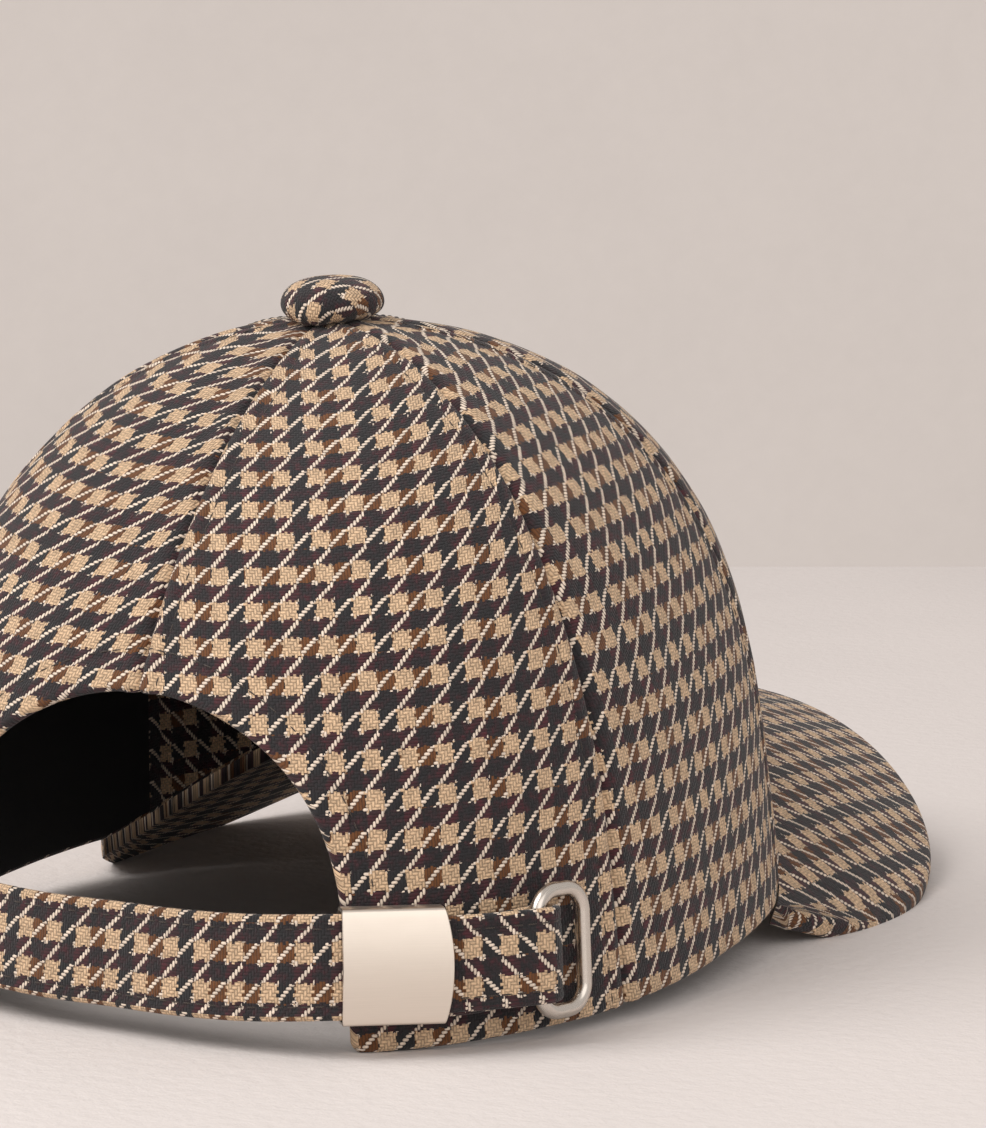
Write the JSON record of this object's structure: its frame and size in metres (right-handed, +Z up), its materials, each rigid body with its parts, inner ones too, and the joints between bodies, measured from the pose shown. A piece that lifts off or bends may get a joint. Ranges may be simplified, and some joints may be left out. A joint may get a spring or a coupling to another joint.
{
  "type": "six-panel cap",
  "caption": "Six-panel cap in checked tweed with a curved peak, a covered button, a half-moon back opening and a strap through a metal keeper and ring.",
  "frame": {"origin": "on the table, under the middle of the cap's box", "axes": "+Z up, the peak towards -Y, the wearer's right towards -X"},
  "size_m": [0.185, 0.2636, 0.1385],
  "materials": {
    "panel_tweed": "matt woven wool, houndstooth check",
    "peak_tweed": "matt woven wool, houndstooth check",
    "button_tweed": "matt woven wool, houndstooth check",
    "strap_tweed": "matt woven wool, houndstooth check",
    "keeper_metal": "brushed along the strap",
    "ring_metal": "satin"
  },
  "bodies": {
    "root": {"panel_back_right": "panel_tweed", "panel_back_left": "panel_tweed", "panel_side_right": "panel_tweed", "panel_side_left": "panel_tweed", "panel_front_right": "panel_tweed", "panel_front_left": "panel_tweed", "peak": "peak_tweed", "button": "button_tweed", "strap": "strap_tweed", "keeper": "keeper_metal", "ring": "ring_metal"}
  },
  "joints": []
}
